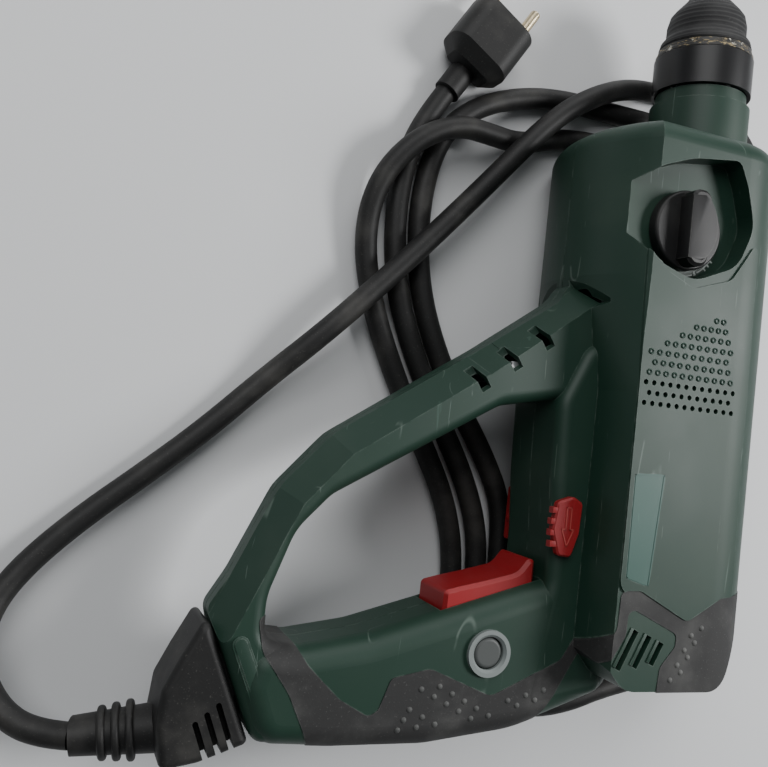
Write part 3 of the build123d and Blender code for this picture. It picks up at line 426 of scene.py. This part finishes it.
def surface(x, y, from_z=60.0):
    """The place and the outward normal of the tool's upper skin under a point, and the name of what is there."""
    ray_from = at(x, y, from_z)
    hit, place, normal, _, piece, _ = bpy.context.scene.ray_cast(
        bpy.context.view_layer.depsgraph, ray_from, Vector((0, 0, -1)))
    return (place, normal, piece.name) if hit else (None, None, None)


# Lattices of low dots on the rubber: the first dot, the step along a row, the step to the next row,
# and for each row its number, its first dot and its last dot.
DOT_FIELDS = [((-109.6, -246.6), (5.45, -2.8), (-2.0, -3.75), ((0, 0, 4), (1, -1, 3), (3, -1, 1), (4, -1, 0), (5, -1, -1))),
              ((-79.9, -252.2), (7.7, 2.0), (4.2, -1.9), ((-1, 4, 5), (0, 0, 4), (1, 0, 3))),
              ((-7.6, -218.0), (-2.8, -5.8), (-4.7, -3.0), ((0, 0, 3), (1, 0, 3)))]
DOT_ROOM = 1.6    # a dot keeps this far inside the rubber's edge


def rubber_dots():
    """Low dots in short rows on the rubber of the grip and of the rear corner."""
    rubber_name = frame["nodes"]["grip_pad_left"].name

    def build(shape):
        for (x0, y0), (ax, ay), (bx, by), rows in DOT_FIELDS:
            for row, first, last in rows:
                for i in range(first, last + 1):
                    x, y = x0 + ax * i + bx * row, y0 + ay * i + by * row
                    around = [surface(x + dx * DOT_ROOM, y + dy * DOT_ROOM)[2]
                              for dx, dy in ((-1, 0), (1, 0), (0, -1), (0, 1))]
                    place, normal, piece = surface(x, y)
                    if piece == rubber_name and normal.z > 0.3 and set(around) == {rubber_name}:
                        turned(shape, place, normal, 1.15 * MM, 0.6 * MM)
    mesh_piece("rubber_dots", build, DOTS, "housing")


def gill_ridges():
    """A soft ridge beside each exhaust slot."""
    lean = math.radians(-25.5)
    along = Vector((-math.sin(lean), math.cos(lean)))
    across = Vector((-along.y, along.x))

    def build(shape):
        for x, y, length in ((-42, -227, 16.5), (-35, -227.6, 13.5), (-28.2, -228.3, 9.5)):
            middle = Vector((x, y)) + across * 2.3
            corners = [middle + along * length * u / 2 + across * 0.75 * v for u, v in ((-1, -1), (-1, 1), (1, 1), (1, -1))]
            plate(shape, [tuple(corner) for corner in corners], BARREL_TOP - 0.3, BARREL_TOP + 0.6, 0.4)
    mesh_piece("gill_ridges", build, GREEN, "housing")


def blank_badge():
    """A raised oval bar on the end of the handle, with a thin rim and nothing on it."""
    start, end = Vector((-186.5, -232.5)), Vector((-175.0, -257.5))
    along = (end - start).normalized()
    across = Vector((-along.y, along.x))

    def oval(half):
        points = []
        for centre, a0 in ((end, -90), (start, 90)):
            for i in range(9):
                a = math.radians(a0 + 22.5 * i)
                points.append(tuple(centre + half * (along * math.cos(a) + across * math.sin(a))))
        return points

    def build(shape):
        for x, y, half, low, high in ((0, 0, 3.1, 17.0, 17.95), (0, 0, 2.3, 17.9, 18.25)):
            plate(shape, oval(half), low, high, 0.2)
    mesh_piece("blank_badge", build, GREEN, "housing")


def outline(shape, points, half, low, high):
    """Thin closed bars along the sides of a closed figure, in millimetres."""
    for (xa, ya), (xb, yb) in zip(points, points[1:] + points[:1]):
        run = Vector((xb - xa, yb - ya, 0)).normalized()
        side, end = Vector((-run.y, run.x, 0)) * half, run * half
        xa, ya, xb, yb = xa - end.x, ya - end.y, xb + end.x, yb + end.y
        plate(shape, [(xa + side.x, ya + side.y), (xa - side.x, ya - side.y), (xb - side.x, yb - side.y),
                      (xb + side.x, yb + side.y)], low, high)


def arrow():
    """The raised outline of an arrow on the red direction lever."""
    shaft = [(-63.9, -176), (-61.9, -176), (-61.9, -184.5), (-60.2, -184.5), (-62.9, -191), (-65.6, -184.5),
             (-63.9, -184.5)]
    mesh_piece("lever_arrow", lambda shape: outline(shape, shaft, 0.2, WAIST_TOP - 0.1, WAIST_TOP + 0.3), RED_RIMS,
               "direction_lever")


def lever_ribs():
    """Finger ribs along the outer flank of the direction lever."""
    def build(shape):
        for i in range(4):
            y = -190.5 + 4.4 * i
            x = -69.6 + 0.35 * abs(i - 1.5)
            plate(shape, [(x - 1.0, y - 1.2), (x + 2.2, y - 1.2), (x + 2.2, y + 1.2), (x - 1.0, y + 1.2)], 20.6, 23.5,
                  0.4)
    mesh_piece("lever_ribs", build, RED, "direction_lever")


KNOB = (-28.0, -61.0)
KNOB_TOP, KNOB_R = 36.0, 16.0


def ring_sector(shape, centre, r0, r1, a0, a1, low, high, steps=10):
    """A closed plate shaped as part of a ring, angles in degrees."""
    x, y = centre
    outer = [(x + r1 * math.cos(math.radians(a0 + (a1 - a0) * i / steps)),
              y + r1 * math.sin(math.radians(a0 + (a1 - a0) * i / steps))) for i in range(steps + 1)]
    inner = [(x + r0 * math.cos(math.radians(a0 + (a1 - a0) * i / steps)),
              y + r0 * math.sin(math.radians(a0 + (a1 - a0) * i / steps))) for i in range(steps, -1, -1)]
    plate(shape, outer + inner, low, high)


def dial_marks():
    """Plain symbols round the lower right of the knob's dish: a tick, a drill spiral and a hammer head."""
    DISH = 31.0
    def build(shape):
        for a in (-62, -88, -20):
            ring_sector(shape, KNOB, KNOB_R + 0.9, KNOB_R + 2.6, a - 1.6, a + 1.6, DISH - 0.1, DISH + 0.12, 3)
        ring_sector(shape, KNOB, KNOB_R + 1.6, KNOB_R + 2.2, -84, -66, DISH - 0.1, DISH + 0.12)
        ring_sector(shape, KNOB, KNOB_R + 1.6, KNOB_R + 2.2, -58, -24, DISH - 0.1, DISH + 0.12)
        for a in (-45, -38, -31):
            ring_sector(shape, KNOB, KNOB_R + 2.2, KNOB_R + 3.4, a - 1.0, a + 1.0, DISH - 0.1, DISH + 0.12, 3)
    mesh_piece("dial_marks", build, WHITE, "housing")


def knob_grip():
    """The raised grip of the knob: straight on its left, bulged on its right, with a bevelled top."""
    x, y = KNOB
    centre_x, radius, reach = x - 8.6, 16.6, 54
    bulge = [(centre_x + radius * math.cos(math.radians(a)), y + radius * math.sin(math.radians(a)))
             for a in range(-reach, reach + 1, 9)]
    grip = [(x - 5.2, y + 12.6), (x - 5.2, y - 12.6)] + bulge
    mesh_piece("knob_grip", lambda shape: plate(shape, grip, 35.8, 43.2, 1.1), KNOB_BLACK, "mode_knob")


def label_edge():
    """The fine raised border of the label plate."""
    border = [(-46.0, -159.9), (-32.8, -159.3), (-35.7, -202.0), (-45.7, -199.2)]
    mesh_piece("label_border", lambda shape: outline(shape, border, 0.2, PANEL_TOP - 0.05, PANEL_TOP + 0.15), LABEL,
               "housing")


def springs():
    """The two springs that the joints squeeze, as copies hung on their bodies."""
    for name, joint, body, axis, end, keep in (
            ("locking_spring", "sleeve_pull", "spindle", (0, 1, 0), (0, 9.15, 0), 0.2),
            ("trigger_spring", "trigger_press", "housing", (-0.2319, 0.9727, 0), (-93.5, -239.7, 0), 0.76)):
        spring = bpy.data.objects.new(name + "_coil", frame["nodes"][name].data.copy())
        bpy.context.collection.objects.link(spring)
        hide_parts(name)
        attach(spring, body)
        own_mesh(spring)


dress_frame()
springs()
power_cord()
rubber_dots()
vent_rims()
gill_ridges()
blank_badge()
arrow()
lever_ribs()
dial_marks()
knob_grip()
label_edge()


# ------------------------------------------------------------------ stage, light and camera
def floor():
    mesh = bpy.data.meshes.new("floor")
    half = 3.0
    mesh.from_pydata([(-half, -half, 0), (half, -half, 0), (half, half, 0), (-half, half, 0)], [], [(0, 1, 2, 3)])
    piece = bpy.data.objects.new("floor", mesh)
    bpy.context.collection.objects.link(piece)
    mesh.materials.append(new_material("floor_paint", (0.72, 0.73, 0.74), 0.6))
    piece.location.z = -0.0005


def area_light(name, place, aim, size, power):
    light = bpy.data.lights.new(name, "AREA")
    light.shape = "DISK"
    light.size = size
    light.energy = power
    lamp = bpy.data.objects.new(name, light)
    bpy.context.collection.objects.link(lamp)
    lamp.location = place
    lamp.rotation_euler = (Vector(aim) - Vector(place)).to_track_quat("-Z", "Y").to_euler()


def camera():
    data = bpy.data.cameras.new("camera")
    data.sensor_width = 36.0
    data.lens = 36.0 * 900 / 768
    eye = bpy.data.objects.new("camera", data)
    bpy.context.collection.objects.link(eye)
    right = Vector((0.9263, 0.1070, 0.3614)).normalized()
    back = Vector((-0.3592, -0.0396, 0.9324)).normalized()
    up = back.cross(right).normalized()
    right = up.cross(back)
    turn = Matrix((right, up, back)).transposed()
    eye.matrix_world = Matrix.Translation(at(-263.3, -149.2, FLOOR_Z + 368.4)) @ turn.to_4x4()
    bpy.context.scene.camera = eye


floor()
area_light("key", (0.98, 0.12, 0.88), (0, 0, 0.03), 0.5, 15)
area_light("fill", (-0.6, 0.8, 1.2), (0, 0, 0.03), 1.2, 12)
area_light("rim", (0.3, 1.3, 0.6), (0, 0, 0.03), 0.8, 6)
world = bpy.data.worlds.new("studio")
world.use_nodes = True
world.node_tree.nodes["Background"].inputs["Color"].default_value = (0.75, 0.78, 0.8, 1)
world.node_tree.nodes["Background"].inputs["Strength"].default_value = 0.20
bpy.context.scene.world = world
camera()
